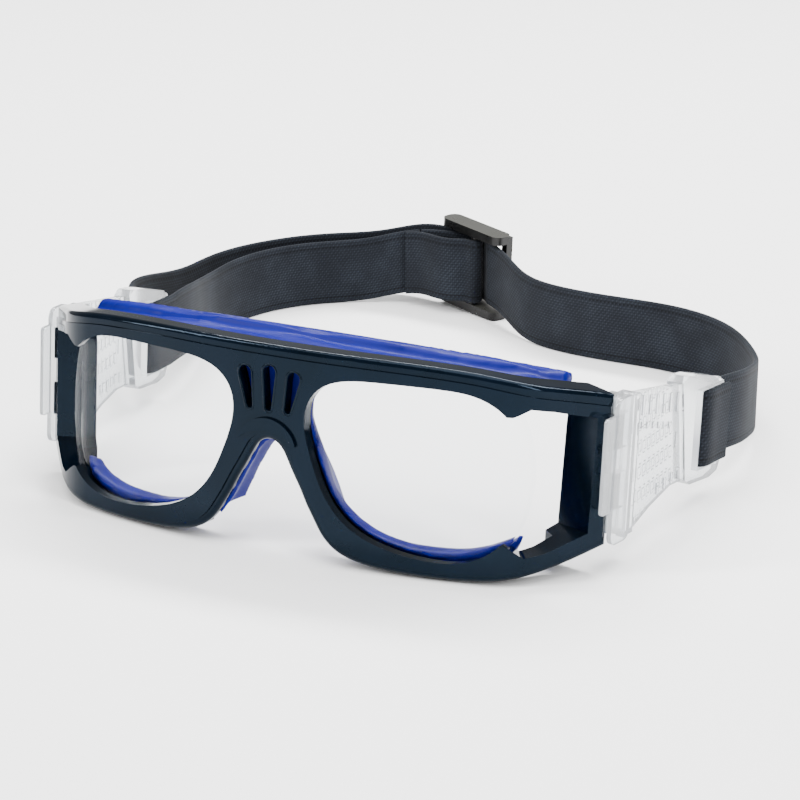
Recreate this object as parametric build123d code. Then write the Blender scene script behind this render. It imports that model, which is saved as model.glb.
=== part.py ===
from build123d import *
from math import sin, cos, acos, radians, degrees, hypot, exp
import os

# Sports protective goggles, millimetres, +Z up.
# Each rigid piece is drawn upright, with the face towards -Y and X = 0 its plane of symmetry.
# seat() then leans it back and lifts it, so that the lower rims stand on Z = 0.
# The elastic strap is drawn in the standing position.
REST_LEAN = 6.0          # degrees that the top of the face leans back when the goggles stand
FRONT_LIFT = 18.38       # raises the lower rims to Z = 0
ORIGIN_SHIFT = (8.68, -85.74)   # moves the middle of the whole object to X = Y = 0

# ---- plan of the front face, from above: shallow arc, tight corner, straight wrapped end
FACE_Y = -7.0            # the face at the bridge
FACE_R = 220.0           # radius across the two lenses
FACE_TURN = 13.0         # degrees turned where the shallow arc ends
CORNER_R = 20.7
WRAP = 50.2              # degrees turned by the wrapped ends
END_S = 79.6             # length along the face from the bridge to the end

# ---- front moulding
MOULD_T = 5.6            # depth of the rims behind the face
END_BACK_Y = 18.4        # flat back of the end bars, where the hinge lugs grow out
TOP_Z = 28.9
BOTTOM_Z = -18.2
BRIDGE_Z = 7.6           # crown of the nose arch
EDGE_R = 1.2             # rounding of the outer front edges
FIELD_IN = 2.4           # the raised middle field of the face stays this far inside the outline
FIELD_H = 0.5            # and stands this far in front of its border
END_X = 70.2             # the end bars are trimmed flat here
ARCH_T = 2.8             # depth of the frame round the nose arch, in front of the gasket
BOSS_H = 0.8             # how far the crescent over the nose arch stands out

# ---- lenses
LENS_T = 2.0
LENS_IN = 2.4            # depth of the lens's front face behind the face
LENS_LAP = 1.2           # how far the lens sits in its groove

# ---- hinges
PIN = (68.7, 21.5)
PIN_R = 0.8
PIN_GAP = 0.05           # running clearance of the temple's knuckles on the pin
KNUCKLE_R = 2.3
LUGS = ((11.0, 18.4), (-2.7, 5.1))
PIN_Z = (-8.6, 22.6)

# ---- temples
TEMPLE_SPLAY = 5.7       # degrees that each temple opens outwards
PLATE_T = 2.0
PLATE_X = 71.5           # outer face of the plate
BAR_Y = (24.7, 28.6)     # thick upright behind the hinge
SLOT_Y = (61.4, 64.8)    # the slot that the strap is threaded through
STRAP_BAR_Y = (64.8, 73.6)
STRAP_BAR_T = 2.4
STRAP_BAR_IN = 1.6       # from the plate's outer face to the bar's middle
SLOT_Z = (-3.1, 15.9)

# ---- elastic strap
STRAP_W = 18.4
STRAP_T = 1.2
BAR_GAP = 0.3            # strap clear of the bar that it passes round
RUN_STEP = 5.0           # longest step between two sections of the strap
FOLD_STEP = 14.0         # most degrees turned between two sections

# ---- slider
SLIDER_AT = (-31.0, 171.0)
SLIDER_DIR = -24.0       # degrees, the slider's long direction in plan
SLIDER_TILT = 3.0        # degrees that its right end hangs lower
SLIDER_L = 24.0
SLIDER_H = 24.6
SLIDER_RAIL = 2.4        # height of the rails above and below the strap
SLIDER_D = 6.0           # depth of the rails
SLIDER_END = (2.0, 2.2)  # section of the end bars
CENTRE_BAR = (1.5, -1.3) # the round bar's place in the slider's own plan
CENTRE_BAR_R = 1.1


def seat(shape):
    """Lean an upright piece back and stand it on the floor."""
    moved = Rot(-REST_LEAN, 0, 0) * shape
    return Pos(ORIGIN_SHIFT[0], ORIGIN_SHIFT[1], FRONT_LIFT) * moved


def face_point(s, depth=0.0):
    """Plan position at length s along the face and a depth behind it."""
    side = -1 if s < 0 else 1
    s = abs(s)
    turn = radians(FACE_TURN)
    wrap = radians(WRAP)
    arc_end = FACE_R * turn
    corner_end = arc_end + CORNER_R * (wrap - turn)
    ax = FACE_R * sin(turn)
    ay = FACE_Y + FACE_R * (1 - cos(turn))
    if s <= arc_end:
        a = s / FACE_R
        x, y = FACE_R * sin(a), FACE_Y + FACE_R * (1 - cos(a))
    elif s <= corner_end:
        a = turn + (s - arc_end) / CORNER_R
        x = ax + CORNER_R * (sin(a) - sin(turn))
        y = ay + CORNER_R * (cos(turn) - cos(a))
    else:
        a = wrap
        run = s - corner_end
        x = ax + CORNER_R * (sin(a) - sin(turn)) + run * cos(a)
        y = ay + CORNER_R * (cos(turn) - cos(a)) + run * sin(a)
    return side * (x - depth * sin(a)), y + depth * cos(a)


CORNER_S = FACE_R * radians(FACE_TURN)
WRAP_S = CORNER_S + CORNER_R * radians(WRAP - FACE_TURN)


def face_edges(depth, s_end):
    """Edges of the face curve at one depth, from the left end to the right end."""
    knots = [-s_end, -WRAP_S, -CORNER_S, CORNER_S, WRAP_S, s_end]
    edges = []
    for a, b in zip(knots[:-1], knots[1:]):
        p, m, q = (face_point(s, depth) for s in (a, (a + b) / 2, b))
        if abs(a) >= WRAP_S and abs(b) >= WRAP_S and a * b > 0:
            edges.append(Line(p, q))
        else:
            edges.append(ThreePointArc(p, m, q))
    return edges


def face_band(depth_a, depth_b, s_end, z_low, z_high):
    """Solid between two depths behind the face, between two heights."""
    front = face_edges(depth_a, s_end)
    back = face_edges(depth_b, s_end)
    left = Line(front[0] @ 0, back[0] @ 0)
    right = Line(front[-1] @ 1, back[-1] @ 1)
    section = make_face(front + back + [left, right])
    return Pos(0, 0, z_low) * extrude(section, z_high - z_low, dir=(0, 0, 1))


def mirrored(shape):
    return mirror(shape, about=Plane.YZ)


def through_y(wire_edges, y_low=-30, y_high=60):
    """Prism along Y from closed edges drawn in (x, z)."""
    section = make_face(wire_edges)
    solid = extrude(section, y_high - y_low, dir=(0, 0, 1))
    return Pos(0, y_high, 0) * Rot(90, 0, 0) * solid


UPPER_LINE = ((0, TOP_Z), (15, TOP_Z), (30, TOP_Z), (41, 28.6), (52, 27.6), (61, 25.7), (68, 24.0), (73, 22.6))
LOWER_LINE = ((0, BRIDGE_Z), (2.2, 6.8), (4.2, 4.1), (6.0, 0.7), (7.8, -2.5), (9.4, -5.7), (11.2, -8.8),
              (13.2, -12.0), (16.2, -14.9), (21.5, -17.0), (28, -17.9), (37, BOTTOM_Z), (47, -17.9),
              (58, -16.1), (66.9, -12.2), (73, -8.6))
# Right lens opening, from the upper tooth round the bridge side to the lower tooth.
RIM_LINE = ((53.8, 18.9), (51.0, 21.5), (46.5, 23.4), (40, 24.1), (32, 24.1), (24, 23.9), (17, 23.1),
            (12.6, 21.2), (9.9, 18.2), (8.8, 14.5), (9.3, 9.4), (11.2, 3.6), (14.4, -3.2), (20.0, -9.1),
            (28, -12.6), (37, -14.1), (45.5, -13.6), (50.4, -11.5), (53.8, -8.3))


def both_sides(points):
    """Points of a symmetric line, from the left end to the right end."""
    return [(-x, z) for x, z in points[:0:-1]] + list(points)


def outline():
    """The front view's outline: brow line, lower line with the nose arch, and two ends."""
    upper = Spline(*both_sides(UPPER_LINE))
    lower = Spline(*both_sides(LOWER_LINE))
    return [upper, Line(upper @ 1, lower @ 1), lower, Line(lower @ 0, upper @ 0)]


def lens_opening():
    """Right lens opening in the front view, closed by the line between the two teeth."""
    rim = Spline(*RIM_LINE)
    return [rim, Line(rim @ 1, rim @ 0)]


# Side window beyond the teeth: length along the face, height, and plan angle of the cut wall.
WINDOW = ((54.0, 18.9, 24), (56.6, 20.0, 28), (59.2, 21.3, 34), (64.6, 20.6, 50), (69.4, 19.6, 58),
          (75.2, 18.6, 66), (74.5, -7.2, 66), (68.0, -9.6, 58), (64.4, -10.9, 50), (59.4, -11.7, 34),
          (56.9, -10.1, 28), (54.0, -8.3, 24), (47.0, -8.3, 12), (47.0, 18.9, 12))


def side_window():
    """Cut for the right side window, flared towards its far wall."""
    wrap = radians(WRAP)
    across = Vector(-sin(wrap), cos(wrap), 0)
    base = Vector(*face_point(WRAP_S), 0)
    faces = []
    for depth in (-5.0, 11.0):
        corners = []
        for s, z, angle in WINDOW:
            point = Vector(*face_point(s), z)
            run = Vector(-sin(radians(angle)), cos(radians(angle)), 0)
            reach = (depth - (point - base).dot(across)) / run.dot(across)
            corners.append(point + run * reach)
        faces.append(make_face(Polyline(*corners, close=True)))
    return loft(faces, ruled=True)


def vent_slot(x_top, x_low, z_top, z_low, r_top, r_low):
    """Closed edges of a tapered bridge slot, wide at the top and narrow at the bottom."""
    top, low = Vector(x_top, z_top - r_top), Vector(x_low, z_low + r_low)
    run = low - top
    along = run.normalized()
    swing = degrees(acos((r_top - r_low) / run.length))
    ends = []
    for turn in (swing, -swing):
        way = along.rotate(Axis.Z, turn)
        ends.append((top + way * r_top, low + way * r_low))
    (a, b), (d, c) = ends
    return [ThreePointArc(d, top - along * r_top, a), Line(a, b), ThreePointArc(b, low + along * r_low, c), Line(c, d)]


def bridge_slots():
    sizes = ((-6.0, -4.7, 23.6, 14.2), (0.0, 0.0, 24.4, 14.2), (6.0, 4.7, 23.6, 14.2))
    return [through_y(vent_slot(xt, xl, zt, zl, 1.5, 0.75)) for xt, xl, zt, zl in sizes]


def grown(edge, amount, count):
    """Smooth copy of a flat edge, moved to the right of its own direction."""
    points = []
    for i in range(count + 1):
        p, t = edge @ (i / count), edge % (i / count)
        points.append((p.X + t.Y * amount, p.Y - t.X * amount))
    return Spline(*points)


def lens_shape(lap, depth_a, depth_b):
    """Right lens outline with a lap behind the rim, as a solid between two depths."""
    held = grown(Spline(*RIM_LINE), lap, 36)
    free = ThreePointArc(held @ 1, (57.4, 6.0), held @ 0)
    prism = Pos(0, 40, 0) * Rot(90, 0, 0) * extrude(make_face([held, free]), 70, dir=(0, 0, 1))
    return prism & face_band(depth_a, depth_b, 66, -40, 40)


def lens_solid():
    """Right lens: a curved plate held by the rims, its outer edge free in the side window."""
    return lens_shape(LENS_LAP, LENS_IN, LENS_IN + LENS_T)


def on_face(edge, depth):
    """True for an edge that lies at one depth behind the face curve."""
    for u in (0.1, 0.5, 0.9):
        p = edge @ u
        curve = [face_point(k / 4, depth) for k in range(330)]
        near = min(hypot(x - abs(p.X), y - p.Y) for x, y in curve)
        if near > 0.2:
            return False
    return True


def crescent():
    """Outline of the raised crescent over the nose arch."""
    upper = Spline((-7.2, 7.2), (-4.2, 11.4), (0, 12.7), (4.2, 11.4), (7.2, 7.2))
    lower = Spline((7.2, 7.2), (4.0, 9.0), (0, 9.8), (-4.0, 9.0), (-7.2, 7.2))
    return [upper, lower]


def raised_field():
    """Middle field of the face, a little in front of the border that runs round it."""
    upper = grown(Spline(*both_sides(UPPER_LINE)), FIELD_IN, 24)
    lower = grown(Spline(*both_sides(LOWER_LINE)), -FIELD_IN * 0.7, 60)
    return through_y([upper, Line(upper @ 1, lower @ 1), lower, Line(lower @ 0, upper @ 0)])


def arch_recess():
    """Room behind the nose arch for the gasket."""
    lower = grown(Spline(*both_sides(LOWER_LINE[:8])), -3.4, 40)
    low_z = -30
    return through_y([lower, Line(lower @ 1, ((lower @ 1).X, low_z)),
                      Line(((lower @ 1).X, low_z), ((lower @ 0).X, low_z)), Line(((lower @ 0).X, low_z), lower @ 0)])


def bridge_recess(gap):
    """Closed edges of the room behind the bridge slots; the gasket fills it but for a gap."""
    right = [(9.0 - gap, 25.2 - gap), (6.7 - gap, 17.5), (6.7 - gap, 7.5)]
    points = right + [(-x, z) for x, z in right[::-1]]
    return [Line(a, b) for a, b in zip(points, points[1:] + points[:1])]


def front_moulding():
    """One-piece front: brow bar, rims, nose bridge, teeth, end bars and hinge lugs."""
    body = face_band(FIELD_H, MOULD_T + 3.4, END_S, -40, 40) & through_y(outline())
    body = fillet([e for e in body.edges() if on_face(e, FIELD_H)], EDGE_R)
    body = body + (face_band(0, 1.5, END_S - 0.6, -40, 40) & raised_field())
    # the rims are shallower than the end bars
    body = body - face_band(MOULD_T, MOULD_T + 8, 69.0, -40, 40)
    body = body - face_band(MOULD_T, MOULD_T + 8, END_S, 21.4, 40)
    body = body - Pos(0, END_BACK_Y + 20, 0) * Box(200, 40, 100)
    body = body - (face_band(ARCH_T, MOULD_T + 2, 12, -40, 40) & through_y(bridge_recess(0)))
    body = body - (face_band(ARCH_T, MOULD_T + 2, 30, -40, 12) & arch_recess())
    for side in (-1, 1):
        body = body - Pos(side * (END_X + 10), 10, 0) * Box(20, 60, 100)
    rims = through_y(lens_opening())
    window = side_window()
    lens = lens_shape(LENS_LAP, LENS_IN, MOULD_T + 1.0)
    for cut in [rims, mirrored(rims), window, mirrored(window), lens, mirrored(lens)] + bridge_slots():
        before = body.volume
        body = body - cut
        print("cut", round(before - body.volume, 1))
    x, y = face_point(54.0)
    for side in (-1, 1):
        for z_tip in (18.9, -8.3):
            body = body - Pos(side * x, y + 3, z_tip) * Box(3.0, 12, 1.2)
    body = body + (through_y(crescent()) & face_band(-BOSS_H, 1.0, 20, 0, 20))
    lugs = hinge_lugs()
    return body + lugs + mirrored(lugs)


def hinge_lugs():
    """Two dark ears behind the right end bar, bored for the pin."""
    lugs = None
    for z_low, z_high in LUGS:
        height = z_high - z_low
        z_mid = (z_low + z_high) / 2
        ear = Pos(PIN[0], PIN[1], z_mid) * Cylinder(KNUCKLE_R, height)
        neck = Pos(PIN[0] - 0.3, (PIN[1] + 16.5) / 2, z_mid) * Box(2 * KNUCKLE_R - 0.6, PIN[1] - 16.5, height)
        lug = ear + neck
        lugs = lug if lugs is None else lugs + lug
    return lugs - Pos(PIN[0], PIN[1], 7) * Cylinder(PIN_R, 60)


def hinge_pin():
    """Steel pin, a press fit in the frame's ears."""
    length = PIN_Z[1] - PIN_Z[0]
    pin = Pos(PIN[0], PIN[1], (PIN_Z[0] + PIN_Z[1]) / 2) * Cylinder(PIN_R, length)
    return pin


# Side view of the right temple in (y, z), and of its thicker rear ring.
PLATE_LINE = ((BAR_Y[0], 22.4), (50.0, 19.6), (58.0, 20.2), (58.0, -4.8), (54.5, -3.6), (48.0, -3.6), (38.0, -6.2),
              (30.5, -9.0), (BAR_Y[0], -10.0))
RING_LINE = ((50.5, 19.8), (52.5, 21.0), (57.0, 20.6), (63.0, 19.4), (69.0, 18.0), (72.4, 16.6), (73.8, 14.2),
             (73.8, -2.8), (72.2, -5.2), (68.0, -6.0), (57.5, -5.4), (55.0, -3.8))


def side_plate(points, x_out, thickness):
    """Plate drawn in side view, from its outer face inwards."""
    plane = Plane(origin=(x_out, 0, 0), x_dir=(0, 1, 0), z_dir=(1, 0, 0))
    return extrude(plane * make_face(Polyline(*points, close=True)), -thickness)


def front_bar():
    """Thick upright with rounded ends, and the thin flange in front of it, that cover the hinge."""
    upright = Pos(PLATE_X + 0.7, 21.4, 6.2) * Box(1.1, 8.8, 32.8)
    upright = fillet(upright.edges().filter_by(Axis.X), 2.4)
    flange = Pos(PLATE_X + 0.5, 15.4, 8.3) * Box(0.8, 5.8, 21.4)
    return upright + fillet(flange.edges().filter_by(Axis.X), 0.9)


def temple_solid():
    """Right temple: front bar, knuckles, plate with ribs, and the strap ring."""
    body = side_plate(PLATE_LINE, PLATE_X, PLATE_T) + side_plate(RING_LINE, PLATE_X + 0.5, 4.2)
    root = Pos(PLATE_X - 1.6, sum(BAR_Y) / 2, 6.2) * Box(4.6, BAR_Y[1] - BAR_Y[0], 31.6)
    body = body + root + front_bar()
    slot_h = SLOT_Z[1] - SLOT_Z[0]
    z_mid = sum(SLOT_Z) / 2
    body = body - Pos(PLATE_X, (SLOT_Y[0] + 90) / 2, z_mid) * Box(20, 90 - SLOT_Y[0], slot_h)
    bar = Box(STRAP_BAR_T, STRAP_BAR_Y[1] - STRAP_BAR_Y[0], slot_h + 2)
    bar = fillet(bar.edges().filter_by(Axis.Z), 1.0)
    body = body + Pos(PLATE_X - STRAP_BAR_IN, sum(STRAP_BAR_Y) / 2, z_mid) * bar
    for z_low, z_high in knuckle_heights():
        z_mid = (z_low + z_high) / 2
        knuckle = Pos(PIN[0], PIN[1], z_mid) * Cylinder(KNUCKLE_R, z_high - z_low)
        web = Pos(PIN[0], (PIN[1] + BAR_Y[0] + 0.5) / 2, z_mid)
        body = body + knuckle + web * Box(2 * KNUCKLE_R - 0.2, BAR_Y[0] + 0.5 - PIN[1], z_high - z_low)
    body = body - Pos(PIN[0], PIN[1], 7) * Cylinder(PIN_R + PIN_GAP, 60)
    for rib in temple_ribs():
        body = body + rib
    slit = Pos(PLATE_X, 49.2, 7.0) * Box(0.8, 1.4, 3.6)
    return splay(body - slit)


def knuckle_heights():
    gap = 0.2
    (up_low, up_high), (low_low, low_high) = LUGS
    return ((up_high + gap, PIN_Z[1] - 0.4), (low_high + gap, up_low - gap), (PIN_Z[0] + 0.4, low_low - gap))


def temple_ribs():
    """Embossed upright ribs along both edges of the plate, and a row of small wedges."""
    ribs = []
    for i in range(9):
        y = 31.0 + 3.5 * i
        z = 19.0 - 0.155 * (y - 29.0)
        ribs.append(Pos(PLATE_X + 0.1, y, z) * Box(0.6, 0.9, 4.4))
    for i in range(6):
        y = 41.0 + 3.5 * i
        z = -2.6 + 0.12 * (y - 41.0)
        ribs.append(Pos(PLATE_X + 0.1, y, z) * Box(0.6, 0.9, 2.6))
    for i in range(6):
        y = 31.0 + 2.8 * i
        z = 14.2 - 0.2 * (y - 31.0)
        wedge = Plane(origin=(PLATE_X - 0.2, y, z), x_dir=(0, 1, 0), z_dir=(1, 0, 0))
        ribs.append(extrude(wedge * RegularPolygon(0.9, 3), 0.55))
    return ribs


def splay(shape):
    """Open the right temple outwards about its hinge pin."""
    at = Pos(PIN[0], PIN[1], 0)
    return at * Rot(0, 0, -TEMPLE_SPLAY) * Pos(-PIN[0], -PIN[1], 0) * shape


# Right half of the gasket's inner edge, from the brow round the bridge side to the lower tooth.
PAD_LINE = ((60.0, 20.6), (52.0, 22.0), (40.0, 23.2), (24.0, 23.2), (13.0, 22.4), (8.4, 20.4), (5.9, 17.4),
            (5.6, 13.0), (7.9, 7.9), (10.2, 2.7), (13.1, -4.1), (16.9, -8.2), (23.3, -11.6), (30.0, -13.1),
            (37.3, -13.3), (45.6, -12.3), (51.0, -10.2), (60.0, -6.0))
# Nose side of the gasket: at the frame, at the ridge behind it, and at the back of the wing.
NOSE_FRONT = ((0, 6.7), (2.0, 5.9), (3.6, 3.7), (5.3, 0.3), (7.1, -3.0), (8.6, -6.1), (10.4, -9.3), (12.6, -12.4))
NOSE_RIDGE = ((0, 8.9), (3.2, 7.8), (5.4, 5.4), (7.2, 2.5), (8.8, -0.6), (10.7, -4.6), (12.6, -8.2), (14.6, -12.2))
NOSE_BACK = ((3.0, 7.0), (4.6, 4.6), (6.4, 1.7), (7.9, -0.9), (9.4, -3.7), (10.8, -7.1), (12.7, -11.2))
BROW_BACK = ((0, 15.3), (20.0, 15.4), (40.0, 17.0), (54.0, 19.8), (59.6, 21.4))
BROW_Z = (23.0, 27.2, 28.7)  # under side, top, and top of the raised bead along the back


def thick_line(points, amount):
    """Closed outline of a line of points given a thickness away from the nose."""
    outer = [(x + amount * 0.85, z + amount * 0.53) for x, z in points]
    if points[0][0] == 0:
        outer[0] = (0, points[0][1] + amount)
    return list(points) + outer[::-1]


def upright_face(points, y):
    return make_face(Polyline(*[(x, y, z) for x, z in points], close=True))


def gasket_solid():
    """Soft face gasket: brow pad, lower rims and nose wings in one moulding."""
    front = MOULD_T + 0.3
    outer = [(0, 27.6), (50, 26.0), (54.5, 20.0), (57.0, -6.0), (53.0, -13.4), (43.0, -16.6), (28.0, -16.6),
             (17.0, -14.0), (12.4, -9.0), (9.4, -3.0), (6.0, 4.0), (0, 9.6)]
    section = make_face(Polyline(*outer, close=True))
    prism = Pos(0, 60, 0) * Rot(90, 0, 0) * extrude(section, 90, dir=(0, 0, 1))
    rim = prism & face_band(front, front + 3.6, 62, -40, 40)
    collar = lens_shape(LENS_LAP - 0.3, LENS_IN + LENS_T + 0.2, front + 0.5) & Pos(30.8, 0, 0) * Box(42.4, 100, 100)
    rim = rim + collar - eye_room()
    half = rim + nose_wing()
    plug = face_band(ARCH_T + 0.25, front + 3.6, 12, 0, 40) & through_y(bridge_recess(0.25))
    return half + mirrored(half) + plug + brow_pad()


def eye_room():
    """Room in front of the right eye, from the lens opening back through the pad."""
    front = grown(Spline(*RIM_LINE), -0.3, 36)
    back = Spline(*PAD_LINE)
    faces = []
    for line, y in ((front, -4.0), (back, 4.0)):
        points = [line @ (i / 30) for i in range(31)]
        faces.append(upright_face([(p.X, p.Y) for p in points], y))
    return loft(faces, ruled=True) + extrude(faces[1], 56, dir=(0, 1, 0))


def under_brow(drop):
    """Everything under the brow line of the pad, which falls towards both ends."""
    z = BROW_Z[2] - drop
    top = Spline(*both_sides(((0, z), (30.0, z - 0.4), (46.0, z - 1.2), (61.0, z - 2.6))))
    return through_y([top, Line(top @ 1, (61.0, 0)), Line((61.0, 0), (-61.0, 0)), Line((-61.0, 0), top @ 0)])


def brow_pad():
    """Pad that rests on the brow: a flat ledge with a raised bead along its back."""
    half_w = BROW_BACK[-1][0]
    back = Spline(*both_sides(BROW_BACK))
    ledge = make_face([back, Line(back @ 1, (half_w, -12)), Line((half_w, -12), (-half_w, -12)),
                       Line((-half_w, -12), back @ 0)])
    low, top, bead_top = BROW_Z
    pad = Pos(0, 0, low) * extrude(ledge, bead_top - low + 1, dir=(0, 0, 1)) & under_brow(bead_top - top)
    pad = pad - face_band(-15, MOULD_T + 0.3, END_S, 0, 60)
    front = Spline(*[(x * 0.985, y - 4.4) for x, y in both_sides(BROW_BACK)])
    bead = make_face([back, Line(back @ 1, front @ 1), front, Line(front @ 0, back @ 0)])
    return pad + (Pos(0, 0, low) * extrude(bead, bead_top - low + 1, dir=(0, 0, 1)) & under_brow(0))


def nose_wing():
    """Right half of the nose pad: a lining of the arch that turns back into a wing."""
    lining = loft([upright_face(thick_line(NOSE_FRONT, 2.8), -3.6), upright_face(thick_line(NOSE_RIDGE, 1.8), 0.6)],
                  ruled=True)
    deeper = loft([upright_face(thick_line(NOSE_RIDGE, 1.8), 0.6),
                   upright_face(thick_line(NOSE_RIDGE, 1.8), 3.4)], ruled=True)
    wing = loft([upright_face(thick_line(NOSE_RIDGE[1:], 1.8), 3.4), upright_face(thick_line(NOSE_BACK, 1.2), 8.0)],
                ruled=True)
    return lining + deeper + wing


# ---- elastic strap, drawn standing
def temple_plan(side, x, y):
    """Plan position, once standing, of a point of a temple at the strap's middle height."""
    a = radians(TEMPLE_SPLAY)
    dx, dy = x - PIN[0], y - PIN[1]
    px = PIN[0] + dx * cos(a) + dy * sin(a)
    py = PIN[1] - dx * sin(a) + dy * cos(a)
    lean = radians(REST_LEAN)
    return side * px, py * cos(lean) + sum(SLOT_Z) / 2 * sin(lean)


def strap_height(x, y):
    """Height of the middle of the strap: held by the temples, then down to the floor."""
    lean = radians(REST_LEAN)
    held_z = FRONT_LIFT + sum(SLOT_Z) / 2 * cos(lean) - STRAP_BAR_Y[0] * sin(lean)
    rest_z = STRAP_W / 2 + 0.1
    raised = SLIDER_H / 2 + SLIDER_L / 2 * sin(radians(SLIDER_TILT)) + 0.05 - rest_z
    along = min(1.0, max(0.0, (y - STRAP_BAR_Y[1] - 2.0) / 50.0))
    ease = along * along * (3 - 2 * along)
    fall = sin(lean) * min(y - STRAP_BAR_Y[0], 11.0)
    near_slider = exp(-(hypot(x - SLIDER_AT[0], y - SLIDER_AT[1]) / 26.0) ** 4)
    a = radians(SLIDER_DIR)
    along_slider = (x - SLIDER_AT[0]) * cos(a) + (y - SLIDER_AT[1]) * sin(a)
    raised = raised - along_slider * sin(radians(SLIDER_TILT))
    return (held_z - fall) * (1 - ease) + rest_z * ease + raised * near_slider


def strap_lean(y):
    """Lean of the strap's width: the temple's at the bar, upright further back."""
    along = min(1.0, max(0.0, (y - STRAP_BAR_Y[1] - 2.0) / 40.0))
    return radians(REST_LEAN) * (1 - along)


def stations(path):
    """Places along the strap: close together round the folds, further apart on the runs."""
    fine = 500
    picked = [0.0]
    last_p, last_t = path @ 0, path % 0
    for i in range(1, fine):
        p, t = path @ (i / fine), path % (i / fine)
        if (p - last_p).length > RUN_STEP or t.get_angle(last_t) > FOLD_STEP:
            picked.append(i / fine)
            last_p, last_t = p, t
    if (path @ 1 - last_p).length < 0.5:
        picked.pop()
    return picked + [1.0]


def ribbon(points):
    """Strap solid through plan points, in the standing position."""
    path = Spline(*points)
    sections = []
    for u in stations(path):
        p = path @ u
        t = path % u
        n = Vector(-t.Y, t.X, 0).normalized() * (STRAP_T / 2)
        lean = strap_lean(p.Y)
        up = Vector(0, sin(lean), cos(lean)) * (STRAP_W / 2)
        mid = Vector(p.X, p.Y, strap_height(p.X, p.Y))
        corners = [mid - n - up, mid + n - up, mid + n + up, mid - n + up]
        sections.append(make_face(Polyline(*corners, close=True)))
    body = loft(sections, ruled=True)
    expected = path.length * STRAP_T * STRAP_W
    print("strap piece length", round(path.length, 1), "volume ratio", round(body.volume / expected, 3))
    return Pos(ORIGIN_SHIFT[0], ORIGIN_SHIFT[1], 0) * body


def slider_point(u, v):
    """Plan point in the slider's own directions: u along it, v towards the outside of the loop."""
    a = radians(SLIDER_DIR)
    return (SLIDER_AT[0] + u * cos(a) - v * sin(a), SLIDER_AT[1] + u * sin(a) + v * cos(a))


def bar_fold(side):
    """Plan points of the strap's fold through the slot and round the front of the bar."""
    x_mid = PLATE_X - STRAP_BAR_IN
    off = STRAP_BAR_T / 2 + BAR_GAP + STRAP_T / 2
    front = STRAP_BAR_Y[0] - BAR_GAP - STRAP_T / 2
    local = ((off, front + 5.4), (off, front + 2.2), (0.72 * off, front + 0.55), (0, front),
             (-0.72 * off, front + 0.55), (-off, front + 2.2), (-off, front + 5.4))
    return [temple_plan(side, x_mid + dx, y) for dx, y in local]


def strap_right_run():
    """Sewn end, fold round the right temple's bar, and the run to the slider."""
    x_mid = PLATE_X - STRAP_BAR_IN
    tail = [temple_plan(1, x_mid + 2.2, 75.4)]
    back = [temple_plan(1, x_mid - 2.15, 73.2), (74.6, 79.0), (76.3, 87.0), (75.6, 97.0)]
    loop = [(71.9, 113.0), (64.2, 128.0), (53.0, 140.0), (38.0, 146.4), (21.0, 147.4), (5.0, 149.0), (-7.0, 153.6)]
    return ribbon(tail + bar_fold(1) + back + loop + [slider_point(11.0, -0.7), slider_point(6.0, 0.5)])


def strap_outer_run():
    """From the slider round the outside of the loop to the left temple's slot."""
    slider = [slider_point(6.0, 0.5), slider_point(1.5, 2.2), slider_point(-4.0, 1.5), slider_point(-10.5, 0.0)]
    loop = [(-51.0, 177.0), (-64.0, 173.4), (-77.0, 165.0), (-87.0, 153.0), (-93.4, 138.0), (-94.8, 121.0),
            (-93.8, 105.0), (-91.6, 91.0), (-87.6, 79.0), (-82.4, 71.2)]
    return ribbon(slider + loop + bar_fold(-1)[2:4])


def strap_inner_run():
    """From the left temple's slot back along the inside of the loop to the lap seam."""
    x_mid = PLATE_X - STRAP_BAR_IN
    start = bar_fold(-1)[3:] + [temple_plan(-1, x_mid - 2.05, 73.0)]
    loop = [(-74.4, 82.0), (-78.0, 95.0), (-83.4, 110.0), (-86.4, 124.0), (-85.2, 138.0), (-79.6, 150.4),
            (-70.0, 160.4), (-58.6, 167.0), (-47.6, 170.0)]
    return ribbon(start + loop)


def strap_slider_loop():
    """The strap's other end: turned round the slider's centre bar and lapped on the inner run."""
    u, v = CENTRE_BAR
    r = CENTRE_BAR_R + 0.25 + STRAP_T / 2
    turn = [slider_point(u + r * cos(radians(a)), v + r * sin(radians(a))) for a in (100, 60, 20, -20, -60, -95)]
    back = [(-46.9, 170.2), (-41.0, 171.2), (-35.0, 171.8)]
    front = [(-35.4, 166.0), (-41.0, 166.2), (-46.0, 167.8), (-50.6, 167.9)]
    return ribbon(back + turn + front)


def slider_solid():
    """Tri-glide slider: deep rails above and below, two end bars and a round centre bar."""
    mid_z = (SLIDER_H - SLIDER_RAIL) / 2
    rails = Pos(0, 0.4, mid_z) * Box(SLIDER_L, SLIDER_D, SLIDER_RAIL)
    rails = rails + Pos(0, 0.4, -mid_z) * Box(SLIDER_L, SLIDER_D, SLIDER_RAIL)
    body = fillet(rails.edges().filter_by(Axis.Z), 2.4)
    end_w, end_d = SLIDER_END
    for side in (-1, 1):
        body = body + Pos(side * (SLIDER_L - end_w) / 2, 2.3, 0) * Box(end_w, end_d, SLIDER_H - 1)
    bar = Pos(CENTRE_BAR[0], CENTRE_BAR[1], 0) * Cylinder(CENTRE_BAR_R, SLIDER_H - SLIDER_RAIL)
    body = Rot(0, 0, SLIDER_DIR) * Rot(0, SLIDER_TILT, 0) * (body + bar)
    x, y = SLIDER_AT
    return Pos(x + ORIGIN_SHIFT[0], y + ORIGIN_SHIFT[1], strap_height(x, y)) * body


def write(shape, name):
    export_step(shape, "parts/" + name + ".step")
    print(name, len(shape.solids()), round(shape.volume), [round(v, 2) for v in shape.bounding_box().size])


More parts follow.
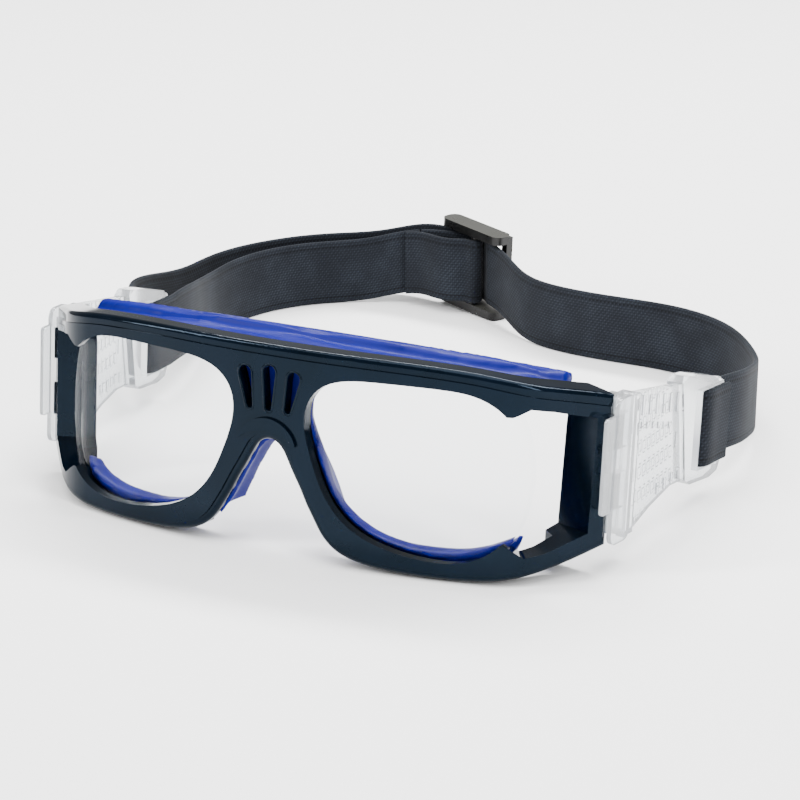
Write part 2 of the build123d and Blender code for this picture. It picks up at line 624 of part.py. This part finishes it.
os.makedirs("parts", exist_ok=True)
NODES = {
    "front_frame": lambda: seat(front_moulding()),
    "lens_right": lambda: seat(lens_solid()),
    "lens_left": lambda: seat(mirrored(lens_solid())),
    "face_gasket": lambda: seat(gasket_solid()),
    "temple_right": lambda: seat(temple_solid()),
    "temple_left": lambda: seat(mirrored(temple_solid())),
    "hinge_pin_right": lambda: seat(hinge_pin()),
    "hinge_pin_left": lambda: seat(mirrored(hinge_pin())),
    "strap_right_run": strap_right_run,
    "strap_outer_run": strap_outer_run,
    "strap_inner_run": strap_inner_run,
    "strap_slider_loop": strap_slider_loop,
    "strap_slider": slider_solid,
}
for node, make in NODES.items():
    write(make(), node)
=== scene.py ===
import math

import bmesh
import bpy
import numpy as np
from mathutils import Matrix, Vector


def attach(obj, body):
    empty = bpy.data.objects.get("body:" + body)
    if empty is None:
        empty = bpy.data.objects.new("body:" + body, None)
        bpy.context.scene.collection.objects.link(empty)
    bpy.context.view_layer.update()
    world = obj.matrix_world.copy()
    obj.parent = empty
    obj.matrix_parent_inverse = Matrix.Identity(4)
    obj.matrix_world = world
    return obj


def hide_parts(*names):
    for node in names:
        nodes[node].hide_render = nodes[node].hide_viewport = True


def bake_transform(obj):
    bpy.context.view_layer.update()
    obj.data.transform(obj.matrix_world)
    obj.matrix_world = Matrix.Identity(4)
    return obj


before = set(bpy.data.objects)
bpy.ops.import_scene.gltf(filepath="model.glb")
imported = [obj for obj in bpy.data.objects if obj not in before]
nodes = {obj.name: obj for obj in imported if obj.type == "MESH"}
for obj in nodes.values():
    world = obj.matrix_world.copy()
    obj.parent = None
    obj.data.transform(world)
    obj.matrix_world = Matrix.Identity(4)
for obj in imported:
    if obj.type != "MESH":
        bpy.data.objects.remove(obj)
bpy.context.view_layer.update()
MM = 0.001

# ---------------------------------------------------------------- the part's own frame
LEAN = math.radians(6.0)
SHIFT = (8.68, -85.74, 18.38)
PIN = (68.7, 21.5)
SPLAY = math.radians(5.7)
PLATE_X = 71.5
STRAP_BAR_IN = 1.6
STRAP_BAR_T = 2.4
STRAP_BAR_Y = (64.8, 73.6)
SLOT_Z = (-3.1, 15.9)
STRAP_W = 18.4
STRAP_T = 1.2
SLIDER_AT = (-31.0, 171.0)
SLIDER_DIR = math.radians(-24.0)
SLIDER_TILT = math.radians(3.0)
SLIDER_L = 24.0
SLIDER_H = 24.6
CENTRE_BAR = (1.5, -1.3)
CENTRE_BAR_R = 1.1
FACE_Y = -7.0       # the front's face at the nose bridge, which curves with FACE_R
FACE_R = 220.0


def seated(x, y, z):
    """Upright millimetres to the row frame in metres."""
    c, s = math.cos(LEAN), math.sin(LEAN)
    return Vector(((x + SHIFT[0]) * MM, (y * c + z * s + SHIFT[1]) * MM, (-y * s + z * c + SHIFT[2]) * MM))


def upright(place):
    """The row frame in metres back to upright millimetres."""
    x, y, z = (place[i] / MM - SHIFT[i] for i in range(3))
    c, s = math.cos(LEAN), math.sin(LEAN)
    return x, y * c - z * s, y * s + z * c


# ---------------------------------------------------------------- camera
VIEW_AZIMUTH = math.radians(26.0)
VIEW_ELEVATION = math.radians(20.0)
VIEW_DISTANCE = 0.6
AIM_AT = (9.774, 40.0, 4.047)
AIM = Vector([at + shift for at, shift in zip(AIM_AT, SHIFT)]) * MM
AWAY = Vector((math.sin(VIEW_AZIMUTH) * math.cos(VIEW_ELEVATION),
               -math.cos(VIEW_AZIMUTH) * math.cos(VIEW_ELEVATION),
               math.sin(VIEW_ELEVATION)))
camera = bpy.data.objects.new("camera", bpy.data.cameras.new("camera"))
bpy.context.scene.collection.objects.link(camera)
camera.data.sensor_width = 36.0
camera.data.lens = 116.3
camera.data.clip_start = 0.01
camera.location = AIM + AWAY * VIEW_DISTANCE
camera.rotation_euler = (-AWAY).to_track_quat("-Z", "Y").to_euler()
bpy.context.scene.camera = camera


# ---------------------------------------------------------------- material helpers
FINE_BUMP = 0.0001      # the height of every fine surface grain, in metres
GRAIN_SCALE = 2500.0


class Mat:
    """A small builder for node materials."""

    def __init__(self, name):
        self.material = bpy.data.materials.new(name)
        self.material.use_nodes = True
        self.tree = self.material.node_tree
        self.tree.nodes.clear()
        self.out = self.new("ShaderNodeOutputMaterial")
        self.shader = self.new("ShaderNodeBsdfPrincipled")
        self.link(self.shader.outputs[0], self.out.inputs[0])

    def new(self, kind, **values):
        node = self.tree.nodes.new(kind)
        for key, value in values.items():
            setattr(node, key, value)
        return node

    def link(self, a, b):
        self.tree.links.new(a, b)

    def set(self, **values):
        for key, value in values.items():
            self.shader.inputs[key.replace("_", " ")].default_value = value
        return self

    def coords(self, kind="Object"):
        if kind == "UV":
            return self.new("ShaderNodeUVMap").outputs[0]
        return self.new("ShaderNodeTexCoord").outputs[kind]

    def noise(self, coords, scale, detail=3.0, roughness=0.5):
        node = self.new("ShaderNodeTexNoise")
        node.inputs["Scale"].default_value = scale
        node.inputs["Detail"].default_value = detail
        node.inputs["Roughness"].default_value = roughness
        self.link(coords, node.inputs["Vector"])
        return node.outputs["Fac"]

    def math(self, operation, a, b=None, c=None):
        node = self.new("ShaderNodeMath", operation=operation)
        for i, value in enumerate((a, b, c)):
            if value is None:
                continue
            if isinstance(value, (int, float)):
                node.inputs[i].default_value = value
            else:
                self.link(value, node.inputs[i])
        return node.outputs[0]

    def wave(self, value, pitch):
        """A sine wave along a coordinate, of the given pitch in metres."""
        return self.math("SINE", self.math("MULTIPLY", value, 2 * math.pi / pitch))

    def split(self, coords):
        """The x, y and z of a vector."""
        node = self.new("ShaderNodeSeparateXYZ")
        self.link(coords, node.inputs[0])
        return node.outputs

    def ramp(self, value, stops):
        node = self.new("ShaderNodeValToRGB")
        ramp = node.color_ramp
        while len(ramp.elements) < len(stops):
            ramp.elements.new(0.5)
        for element, (place, colour) in zip(ramp.elements, stops):
            element.position = place
            element.color = tuple(colour) + (1.0,) if len(colour) == 3 else colour
        self.link(value, node.inputs[0])
        return node.outputs[0]

    def mapped(self, value, low, high, from_low=0.0, from_high=1.0):
        node = self.new("ShaderNodeMapRange")
        for name, v in (("From Min", from_low), ("From Max", from_high),
                        ("To Min", low), ("To Max", high)):
            node.inputs[name].default_value = v
        self.link(value, node.inputs["Value"])
        return node.outputs[0]

    def bump(self, height, strength, distance, normal=None):
        node = self.new("ShaderNodeBump")
        node.inputs["Strength"].default_value = strength
        node.inputs["Distance"].default_value = distance
        self.link(height, node.inputs["Height"])
        if normal is not None:
            self.link(normal, node.inputs["Normal"])
        return node.outputs[0]

    def to(self, socket, name):
        self.link(socket, self.shader.inputs[name])


def srgb(r, g, b):
    """Linear colour of an sRGB one given 0 to 255."""
    out = []
    for v in (r, g, b):
        v = v / 255.0
        out.append(v / 12.92 if v <= 0.04045 else ((v + 0.055) / 1.055) ** 2.4)
    return tuple(out)


def plastic(name, dark, light, roughness, grain, bump, scale=GRAIN_SCALE):
    """Moulded plastic: two close shades, a fine grain and a little uneven gloss."""
    m = Mat(name)
    at = m.coords()
    broad = m.noise(at, 90.0, 4.0)
    fine = m.noise(at, scale, 2.0)
    m.to(m.ramp(broad, ((0.35, dark), (0.65, light))), "Base Color")
    m.to(m.mapped(broad, roughness - grain, roughness + grain, 0.3, 0.7), "Roughness")
    m.to(m.bump(fine, bump, FINE_BUMP), "Normal")
    return m


# ---------------------------------------------------------------- materials
navy = plastic("navy_plastic", srgb(2, 7, 14), srgb(4, 11, 21), roughness=0.10, grain=0.015, bump=0.02)
navy.set(Specular_IOR_Level=0.14, Specular_Tint=(0.5, 0.72, 1.0, 1.0))
blue = plastic("blue_elastomer", srgb(0, 4, 98), srgb(0, 6, 112), roughness=0.4, grain=0.05, bump=0.05,
               scale=1800.0)
blue.set(Specular_IOR_Level=0.12, Subsurface_Weight=0.1, Subsurface_Scale=0.0015)
frosted = plastic("frosted_plastic", srgb(228, 232, 235), srgb(242, 244, 246), roughness=0.10, grain=0.03,
                  bump=0.03)
frosted.set(Transmission_Weight=0.8, IOR=1.38, Specular_IOR_Level=0.6)

# rows of short moulded ribs behind the hinge, between two depths of the row frame
RIB_PITCH = 0.0022
RIB_ROW_PITCH = 0.0056
RIBS_FROM, RIBS_TO, RIBS_FADE = -0.0575, -0.0375, 0.001
RIB_HEIGHT = 0.0004
_, depth, level = frosted.split(frosted.coords())
rib = frosted.mapped(frosted.wave(depth, RIB_PITCH), 0.0, 1.0, -0.3, 0.3)
rib_row = frosted.mapped(frosted.wave(level, RIB_ROW_PITCH), 0.0, 1.0, -0.1, 0.25)
ribs_start = frosted.mapped(depth, 0.0, 1.0, RIBS_FROM, RIBS_FROM + RIBS_FADE)
ribs_end = frosted.mapped(depth, 1.0, 0.0, RIBS_TO - RIBS_FADE, RIBS_TO)
ribs = frosted.math("MULTIPLY", frosted.math("MULTIPLY", rib, rib_row),
                    frosted.math("MULTIPLY", ribs_start, ribs_end))
grain = frosted.noise(frosted.coords(), GRAIN_SCALE, 2.0)
frosted.to(frosted.bump(grain, 0.03, FINE_BUMP, frosted.bump(ribs, 0.6, RIB_HEIGHT)), "Normal")

slider_mat = plastic("slider_plastic", srgb(7, 7, 7), srgb(11, 11, 10), roughness=0.30, grain=0.05, bump=0.06)
slider_mat.set(Specular_IOR_Level=0.3)
# its upward faces are painted paler, as painted light falling from above
facing_up = slider_mat.split(slider_mat.coords("Normal"))[2]
slider_mat.to(slider_mat.ramp(facing_up, ((0.86, srgb(9, 9, 9)), (0.97, srgb(58, 58, 55)))), "Base Color")
steel = plastic("pin_steel", (0.45, 0.45, 0.45), (0.6, 0.6, 0.6), roughness=0.3, grain=0.05, bump=0.05)
steel.set(Metallic=1.0)

lens_mat = Mat("lens_clear").set(Base_Color=(0.97, 0.98, 0.985, 1), IOR=1.03, Transmission_Weight=1.0,
                                 Coat_Weight=0.15, Coat_Roughness=0.02)
smear = lens_mat.noise(lens_mat.coords(), 60.0, 5.0)
lens_mat.to(lens_mat.mapped(smear, 0.0, 0.03, 0.4, 0.7), "Roughness")


CORD_PITCH = 0.00075
WEFT_PITCH = 0.00055
TWILL_PITCH = 0.0011
DASH_PITCH = 0.0011
SELVEDGE_AT = 0.0074        # each dashed row's distance from the middle of its face
SELVEDGE_SOLID = 0.0001     # half its full-strength width, and half of its whole width
SELVEDGE_FADED = 0.00035
EDGE_EXTRA = 0.00068        # how much longer a face with one rolled edge is than the strap's width


def webbing(name):
    """Elastic webbing: lengthwise cords crossed by a fine weft. UV is in metres along and across."""
    m = Mat(name)
    along, across, _ = m.split(m.coords("UV"))
    cord = m.wave(across, CORD_PITCH)
    weft = m.wave(along, WEFT_PITCH)
    twill = m.math("SINE", m.math("ADD", m.math("MULTIPLY", along, 2 * math.pi / TWILL_PITCH),
                                  m.math("MULTIPLY", across, math.pi / CORD_PITCH)))
    crossed = m.math("ADD", m.math("MULTIPLY", cord, 0.5), m.math("MULTIPLY", weft, 0.35))
    weave = m.math("MULTIPLY_ADD", twill, 0.5, crossed)
    height = m.mapped(weave, 0.0, 1.0, -1.35, 1.35)
    fuzz = m.noise(m.coords(), 4000.0, 3.0)
    broad = m.noise(m.coords(), 120.0, 3.0)
    # a dashed selvedge row runs near both edges of each face
    face_w = STRAP_W * MM + EDGE_EXTRA
    place = m.math("MULTIPLY", m.math("FRACT", m.math("DIVIDE", across, face_w)), face_w)
    off_mid = m.math("ABSOLUTE", m.math("SUBTRACT", place, (STRAP_W - STRAP_T) / 2 * MM))
    off_row = m.math("ABSOLUTE", m.math("SUBTRACT", off_mid, SELVEDGE_AT))
    row = m.mapped(off_row, 1.0, 0.0, SELVEDGE_SOLID, SELVEDGE_FADED)
    dash = m.mapped(m.wave(along, DASH_PITCH), 0.35, 1.0, -0.4, 0.4)
    groove = m.math("MULTIPLY", row, dash)
    worn = m.math("ADD", m.math("MULTIPLY", fuzz, 0.36), m.math("MULTIPLY", broad, 0.3))
    # the tone follows the weave's relief: the raised cords are painted paler and the dips darker, as painted
    # shade, over a random worn tone
    tone = m.math("ADD", m.math("MULTIPLY", height, 0.34), worn)
    # the dashed selvedge groove is painted darker, as painted shade in it
    tone = m.math("SUBTRACT", tone, m.math("MULTIPLY", groove, 0.3))
    m.to(m.ramp(tone, ((0.2, srgb(11, 13, 17)), (0.5, srgb(23, 26, 32)), (0.8, srgb(46, 52, 60)))),
         "Base Color")
    height = m.math("SUBTRACT", height, m.math("MULTIPLY", groove, 1.2))
    m.set(Roughness=0.9, Sheen_Weight=0.04, Sheen_Roughness=0.5, Specular_IOR_Level=0.12)
    m.to(m.bump(fuzz, 0.12, FINE_BUMP, m.bump(height, 0.4, FINE_BUMP)), "Normal")
    return m


strap_mat = webbing("strap_webbing")


def paint(obj, mat):
    obj.data.materials.clear()
    obj.data.materials.append(mat.material)


# ---------------------------------------------------------------- mesh helpers
SEAM = 0.000005
FLAT_ANGLE = math.radians(0.5)
BEVEL_ANGLE = math.radians(28)


def piece(name, mesh):
    obj = bpy.data.objects.new(name, mesh)
    bpy.context.scene.collection.objects.link(obj)
    return obj


def apply_modifiers(obj):
    deps = bpy.context.evaluated_depsgraph_get()
    mesh = bpy.data.meshes.new_from_object(obj.evaluated_get(deps))
    obj.modifiers.clear()
    old = obj.data
    obj.data = mesh
    bpy.data.meshes.remove(old)
    return obj


def smooth(obj, angle=None):
    """Smooth shading, but sharp where faces meet at more than angle degrees."""
    for polygon in obj.data.polygons:
        polygon.use_smooth = True
    if angle is not None:
        obj.data.set_sharp_from_angle(angle=math.radians(angle))


def copied(node, name):
    """A new piece that starts from a CAD node's shape, with its seams between faces closed."""
    mesh = nodes[node].data.copy()
    obj = piece(name, mesh)
    bm = bmesh.new()
    bm.from_mesh(mesh)
    bmesh.ops.remove_doubles(bm, verts=bm.verts, dist=SEAM)
    bmesh.ops.dissolve_limit(bm, angle_limit=FLAT_ANGLE, verts=bm.verts, edges=bm.edges)
    bm.to_mesh(mesh)
    bm.free()
    return obj


def soft_copy(node, name, voxel, steps):
    """A new piece that starts from a CAD node's shape, with every edge rounded."""
    obj = copied(node, name)
    remesh = obj.modifiers.new("remesh", "REMESH")
    remesh.mode = "VOXEL"
    remesh.voxel_size = voxel
    ease = obj.modifiers.new("ease", "CORRECTIVE_SMOOTH")
    ease.use_only_smooth = True
    ease.factor = 0.5
    ease.iterations = steps
    apply_modifiers(obj)
    smooth(obj)
    return obj


def rounded(node, name, width, segments=2):
    """A new piece that starts from a CAD node's shape, with bevelled edges and flat faces kept flat."""
    obj = copied(node, name)
    bevel = obj.modifiers.new("bevel", "BEVEL")
    bevel.width = width
    bevel.segments = segments
    bevel.limit_method = "ANGLE"
    bevel.angle_limit = BEVEL_ANGLE
    bevel.use_clamp_overlap = True
    apply_modifiers(obj)
    smooth(obj, 40)
    weigh = obj.modifiers.new("weigh", "WEIGHTED_NORMAL")
    weigh.keep_sharp = True
    weigh.weight = 80
    apply_modifiers(obj)
    return obj


# ---------------------------------------------------------------- rigid pieces
for side in ("right", "left"):
    paint(nodes["lens_" + side], lens_mat)
    paint(nodes["hinge_pin_" + side], steel)

front = rounded("front_frame", "front_moulding", 0.0004)
paint(front, navy)
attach(front, "frame")
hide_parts("front_frame")

# shallow waves run along the brow ledge, above a floor that falls towards the ends and in front of a rear edge
WAVE_FLOOR = 25.2
WAVE_FALL = 40.0
WAVE_REAR, WAVE_REAR_CURVE = 12.5, 500.0
WAVE_H = 0.3
gasket = soft_copy("face_gasket", "gasket_moulding", voxel=0.0005, steps=8)
for vertex in gasket.data.vertices:
    x, y, z = upright(vertex.co)
    above = z - WAVE_FLOOR + abs(x) / WAVE_FALL
    if above > 0.0 and y < WAVE_REAR + x * x / WAVE_REAR_CURVE:
        wave = math.sin(0.9 * (y + 2.2 * math.sin(x / 9.0)) + 0.05 * x)
        vertex.co.z += WAVE_H * MM * wave * min(1.0, above)
paint(gasket, blue)
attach(gasket, "frame")
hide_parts("face_gasket")

for side in ("right", "left"):
    temple = rounded("temple_" + side, "temple_plate_" + side, 0.00025)
    paint(temple, frosted)
    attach(temple, "temple_" + side)
    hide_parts("temple_" + side)

slider = rounded("strap_slider", "slider_moulding", 0.0008, 4)
paint(slider, slider_mat)
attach(slider, "slider")
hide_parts("strap_slider")


# ---------------------------------------------------------------- raised rims round the bridge slots
SLOT_RIMS = (("right", 6.0, 4.7, 23.6), ("middle", 0.0, 0.0, 24.4), ("left", -6.0, -4.7, 23.6))
RIM_TOP_OUT = 0.25      # how far each rim runs above its slot
RIM_LOW = 13.95
RIM_TOP_R, RIM_LOW_R = 1.75, 1.0
BEAD_R = 0.3
BEAD_SINK = 0.1         # how far the bead's middle sits behind the face
BEAD_SIDES = 10
ARC_STEPS = 12


def slot_outline(x_top, x_low, z_top, z_low, r_top, r_low):
    """Points round one tapered slot, in the front view."""
    top, low = Vector((x_top, z_top - r_top)), Vector((x_low, z_low + r_low))
    run = low - top
    base = math.atan2(run.y, run.x)
    swing = math.acos((r_top - r_low) / run.length)
    points = []
    for centre, r, start, end in ((top, r_top, base + swing, base - swing + 2 * math.pi),
                                  (low, r_low, base - swing, base + swing)):
        for i in range(ARC_STEPS + 1):
            a = start + (end - start) * i / ARC_STEPS
            points.append((centre.x + r * math.cos(a), centre.y + r * math.sin(a)))
    return points


def ring(name, points, radius):
    """A thin closed bead through points in the row frame."""
    n = len(points)
    bm = bmesh.new()
    rows = []
    for i, p in enumerate(points):
        t = (points[(i + 1) % n] - points[i - 1]).normalized()
        side = t.cross(Vector((0, 1, 0))).normalized()
        depth = t.cross(side)
        rows.append([bm.verts.new(p + (side * math.cos(a) + depth * math.sin(a)) * radius)
                     for a in (2 * math.pi * k / BEAD_SIDES for k in range(BEAD_SIDES))])
    for i in range(n):
        a, b = rows[i], rows[(i + 1) % n]
        for k in range(BEAD_SIDES):
            k_next = (k + 1) % BEAD_SIDES
            bm.faces.new((a[k], a[k_next], b[k_next], b[k]))
    bmesh.ops.recalc_face_normals(bm, faces=bm.faces)
    mesh = bpy.data.meshes.new(name)
    bm.to_mesh(mesh)
    bm.free()
    obj = piece(name, mesh)
    smooth(obj)
    return obj


for name, x_top, x_low, z_top in SLOT_RIMS:
    line = slot_outline(x_top, x_low, z_top + RIM_TOP_OUT, RIM_LOW, RIM_TOP_R, RIM_LOW_R)
    on_face = [seated(x, FACE_Y + x * x / (2 * FACE_R) + BEAD_SINK, z) for x, z in line]
    rim = ring("slot_rim_" + name, on_face, BEAD_R * MM)
    paint(rim, navy)
    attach(rim, "frame")


# ---------------------------------------------------------------- the strap
BAR_GAP = 0.3           # between the strap and the temple's bar
LOOP_GAP = 0.25         # between the strap and the slider's middle bar
FLOOR_GAP = 0.1
SLIDER_GAP = 0.05
LEVEL_AFTER = 2.0       # behind the bar the strap comes level, over LEVEL_RUN in height
LEVEL_RUN = 50.0
LEAN_RUN = 40.0         # and over LEAN_RUN in lean
FALL_RUN = 11.0         # the strap falls with the leaning temple this far behind the bar
SLIDER_REACH = 26.0     # how near to the slider the strap is lifted with it
STRAP_STEP = 0.8
FLAT_STEPS = 34
EDGE_STEPS = 6


def temple_plan(side, x, y):
    """Plan place of a point on an open temple, given in the temple's own millimetres."""
    dx, dy = x - PIN[0], y - PIN[1]
    px = PIN[0] + dx * math.cos(SPLAY) + dy * math.sin(SPLAY)
    py = PIN[1] - dx * math.sin(SPLAY) + dy * math.cos(SPLAY)
    return side * px, py * math.cos(LEAN) + sum(SLOT_Z) / 2 * math.sin(LEAN)


def slider_point(u, v):
    """Plan place of a point on the slider, along and across it."""
    c, s = math.cos(SLIDER_DIR), math.sin(SLIDER_DIR)
    return SLIDER_AT[0] + u * c - v * s, SLIDER_AT[1] + u * s + v * c


def bar_fold(side):
    """The strap's turn round the front of a temple's bar, from the outer side to the inner."""
    x_mid = PLATE_X - STRAP_BAR_IN
    off = STRAP_BAR_T / 2 + BAR_GAP + STRAP_T / 2
    y = STRAP_BAR_Y[0] - BAR_GAP - STRAP_T / 2
    local = ((off, y + 5.4), (off, y + 2.2), (0.72 * off, y + 0.55), (0, y),
             (-0.72 * off, y + 0.55), (-off, y + 2.2), (-off, y + 5.4))
    return [temple_plan(side, x_mid + dx, dy) for dx, dy in local]


def levelled(y, run):
    """0 at the temple's bar to 1 where the strap has come level."""
    return min(1.0, max(0.0, (y - STRAP_BAR_Y[1] - LEVEL_AFTER) / run))


def strap_height(x, y):
    """Height of the strap's middle: held by the bars, standing on the floor, or lifted by the slider."""
    held = SHIFT[2] + sum(SLOT_Z) / 2 * math.cos(LEAN) - STRAP_BAR_Y[0] * math.sin(LEAN)
    rest = STRAP_W / 2 + FLOOR_GAP
    raised = SLIDER_H / 2 + SLIDER_L / 2 * math.sin(SLIDER_TILT) + SLIDER_GAP - rest
    t = levelled(y, LEVEL_RUN)
    ease = t * t * (3 - 2 * t)
    fall = math.sin(LEAN) * min(y - STRAP_BAR_Y[0], FALL_RUN)
    dx, dy = x - SLIDER_AT[0], y - SLIDER_AT[1]
    near = math.exp(-(math.hypot(dx, dy) / SLIDER_REACH) ** 4)
    raised -= (dx * math.cos(SLIDER_DIR) + dy * math.sin(SLIDER_DIR)) * math.sin(SLIDER_TILT)
    return (held - fall) * (1 - ease) + rest * ease + raised * near


def strap_lean(y):
    """The strap leans with the temple at its bar and stands upright further back."""
    return LEAN * (1 - levelled(y, LEAN_RUN))


def natural_spline(points, step):
    """Places every step along a smooth curve through plan points, with their directions."""
    p = np.array(points, float)
    t = np.concatenate([[0], np.cumsum(np.hypot(*np.diff(p, axis=0).T))])
    n = len(p)
    h = np.diff(t)
    a = np.zeros((n, n))
    b = np.zeros((n, 2))
    a[0, 0] = a[-1, -1] = 1
    for i in range(1, n - 1):
        a[i, i - 1], a[i, i], a[i, i + 1] = h[i - 1], 2 * (h[i - 1] + h[i]), h[i]
        b[i] = 6 * ((p[i + 1] - p[i]) / h[i] - (p[i] - p[i - 1]) / h[i - 1])
    m = np.linalg.solve(a, b)
    fine = np.linspace(0, t[-1], 4000)
    k = np.clip(np.searchsorted(t, fine, side="right") - 1, 0, n - 2)
    u, w = (t[k + 1] - fine)[:, None], (fine - t[k])[:, None]
    hk = h[k][:, None]
    bend = (m[k] * u ** 3 + m[k + 1] * w ** 3) / (6 * hk)
    curve = bend + (p[k] / hk - m[k] * hk / 6) * u + (p[k + 1] / hk - m[k + 1] * hk / 6) * w
    length = np.concatenate([[0], np.cumsum(np.hypot(*np.diff(curve, axis=0).T))])
    count = max(8, int(round(length[-1] / step)))
    at = np.linspace(0, length[-1], count + 1)
    xy = np.column_stack([np.interp(at, length, curve[:, i]) for i in (0, 1)])
    d = np.gradient(xy, axis=0)
    d /= np.linalg.norm(d, axis=1)[:, None]
    return at, xy, d


def section(width, thick):
    """Half-flat oval section of the webbing: (across, out) points with rolled edges."""
    pts = []
    half, r = width / 2, thick / 2
    for side in (1, -1):
        for i in range(FLAT_STEPS + 1):
            pts.append((side * (-half + r + (width - 2 * r) * i / FLAT_STEPS), side * r))
        for i in range(1, EDGE_STEPS):
            a = math.pi / 2 - math.pi * i / EDGE_STEPS
            pts.append((side * (half - r + r * math.cos(a)), side * r * math.sin(a)))
    return pts


def ribbon(name, points):
    """Webbing along plan points, in the standing position, as one closed mesh with real-size UVs."""
    at, xy, d = natural_spline(points, STRAP_STEP)
    profile = section(STRAP_W, STRAP_T)
    n = len(profile)
    bm = bmesh.new()
    uv = bm.loops.layers.uv.new("strap")
    rings = []
    for (x, y), (tx, ty) in zip(xy, d):
        lean = strap_lean(y)
        normal = Vector((-ty, tx, 0))
        up = Vector((0, math.sin(lean), math.cos(lean)))
        mid = Vector((x + SHIFT[0], y + SHIFT[1], strap_height(x, y)))
        rings.append([bm.verts.new((mid + up * v + normal * o) * MM) for v, o in profile])
    across = [0.0]
    for i in range(1, n + 1):
        a, b = profile[i - 1], profile[i % n]
        across.append(across[-1] + math.hypot(a[0] - b[0], a[1] - b[1]))
    for i in range(len(rings) - 1):
        for j in range(n):
            k = (j + 1) % n
            face = bm.faces.new((rings[i][j], rings[i][k], rings[i + 1][k], rings[i + 1][j]))
            corners = ((at[i], across[j]), (at[i], across[j + 1]),
                       (at[i + 1], across[j + 1]), (at[i + 1], across[j]))
            for loop, (s, w) in zip(face.loops, corners):
                loop[uv].uv = (s * MM, w * MM)
    bm.faces.new(list(reversed(rings[0])))
    bm.faces.new(rings[-1])
    bmesh.ops.recalc_face_normals(bm, faces=bm.faces)
    mesh = bpy.data.meshes.new(name)
    bm.to_mesh(mesh)
    bm.free()
    obj = piece(name, mesh)
    smooth(obj, 50)
    paint(obj, strap_mat)
    print("strap", name, "length mm", round(at[-1], 1))
    return obj, at[-1]


X_MID = PLATE_X - STRAP_BAR_IN
right_points = ([temple_plan(1, X_MID + 2.2, 75.4)] + bar_fold(1)
                + [temple_plan(1, X_MID - 2.15, 73.2), (74.6, 79.0), (76.3, 87.0), (75.6, 97.0), (71.9, 113.0),
                   (64.2, 128.0), (53.0, 140.0), (38.0, 146.4), (21.0, 147.4), (5.0, 149.0), (-7.0, 153.6),
                   slider_point(11.0, -0.7), slider_point(6.0, 0.5)])
outer_points = ([slider_point(6.0, 0.5), slider_point(1.5, 2.2), slider_point(-4.0, 1.5),
                 slider_point(-10.5, 0.0), (-51.0, 177.0), (-64.0, 173.4), (-77.0, 165.0), (-87.0, 153.0),
                 (-93.4, 138.0), (-94.8, 121.0), (-93.8, 105.0), (-91.6, 91.0), (-87.6, 79.0),
                 (-82.4, 71.2)] + bar_fold(-1)[2:4])
inner_points = (bar_fold(-1)[3:]
                + [temple_plan(-1, X_MID - 2.05, 73.0), (-74.4, 82.0), (-78.0, 95.0), (-83.4, 110.0),
                   (-86.4, 124.0), (-85.2, 138.0), (-79.6, 150.4), (-70.0, 160.4), (-58.6, 167.0),
                   (-47.6, 170.0)])
u0, v0 = CENTRE_BAR
turn_r = CENTRE_BAR_R + LOOP_GAP + STRAP_T / 2
turn = [math.radians(a) for a in (100, 60, 20, -20, -60, -95)]
loop_points = ([(-46.9, 170.2), (-41.0, 171.2), (-35.0, 171.8)]
               + [slider_point(u0 + turn_r * math.cos(a), v0 + turn_r * math.sin(a)) for a in turn]
               + [(-35.4, 166.0), (-41.0, 166.2), (-46.0, 167.8), (-50.6, 167.9)])

right_run, right_len = ribbon("strap_right", right_points)
outer_run, outer_len = ribbon("strap_outer", outer_points)
inner_run, inner_len = ribbon("strap_inner", inner_points)
loop_run, loop_len = ribbon("strap_loop", loop_points)


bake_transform(right_run)
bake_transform(outer_run)
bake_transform(inner_run)
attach(loop_run, "slider")
for obj, node, length, held in (
        (right_run, "strap_right_run", right_len, "stretched"),
        (outer_run, "strap_outer_run", outer_len, "stretched"),
        (inner_run, "strap_inner_run", inner_len, "stretched"),
        (loop_run, "strap_slider_loop", loop_len, "folded")):
    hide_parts(node)


# ---------------------------------------------------------------- floor and light
FLOOR_HALF = 4.0
WORLD_STRENGTH = 0.4
bm = bmesh.new()
bmesh.ops.create_grid(bm, x_segments=1, y_segments=1, size=FLOOR_HALF)
floor_mesh = bpy.data.meshes.new("floor")
bm.to_mesh(floor_mesh)
bm.free()
floor = piece("floor", floor_mesh)
floor_mat = Mat("floor_paper").set(Base_Color=(0.97, 0.97, 0.97, 1), Roughness=1.0, Specular_IOR_Level=0.0)
paint(floor, floor_mat)

world = bpy.data.worlds.new("studio")
bpy.context.scene.world = world
world.use_nodes = True
background = world.node_tree.nodes["Background"]
background.inputs["Color"].default_value = (1, 1, 1, 1)
background.inputs["Strength"].default_value = WORLD_STRENGTH


def area_light(name, place, aim, size, power):
    data = bpy.data.lights.new(name, "AREA")
    data.shape = "RECTANGLE"
    data.size, data.size_y = size
    data.energy = power
    lamp = bpy.data.objects.new(name, data)
    bpy.context.scene.collection.objects.link(lamp)
    lamp.location = place
    lamp.rotation_euler = (Vector(aim) - Vector(place)).to_track_quat("-Z", "Y").to_euler()


area_light("overhead", (0.1, -0.1, 1.2), (0, 0, 0), (1.3, 1.0), 26.0)
area_light("back_strip", (0.0, 0.55, 0.95), (0, 0, 0), (1.3, 0.2), 30.0)
area_light("left_strip", (-0.8, -0.7, 0.75), (0, 0, 0.02), (0.16, 0.9), 14.0)
area_light("right_strip", (0.95, -0.45, 0.6), (0, 0, 0.02), (0.16, 0.9), 12.0)
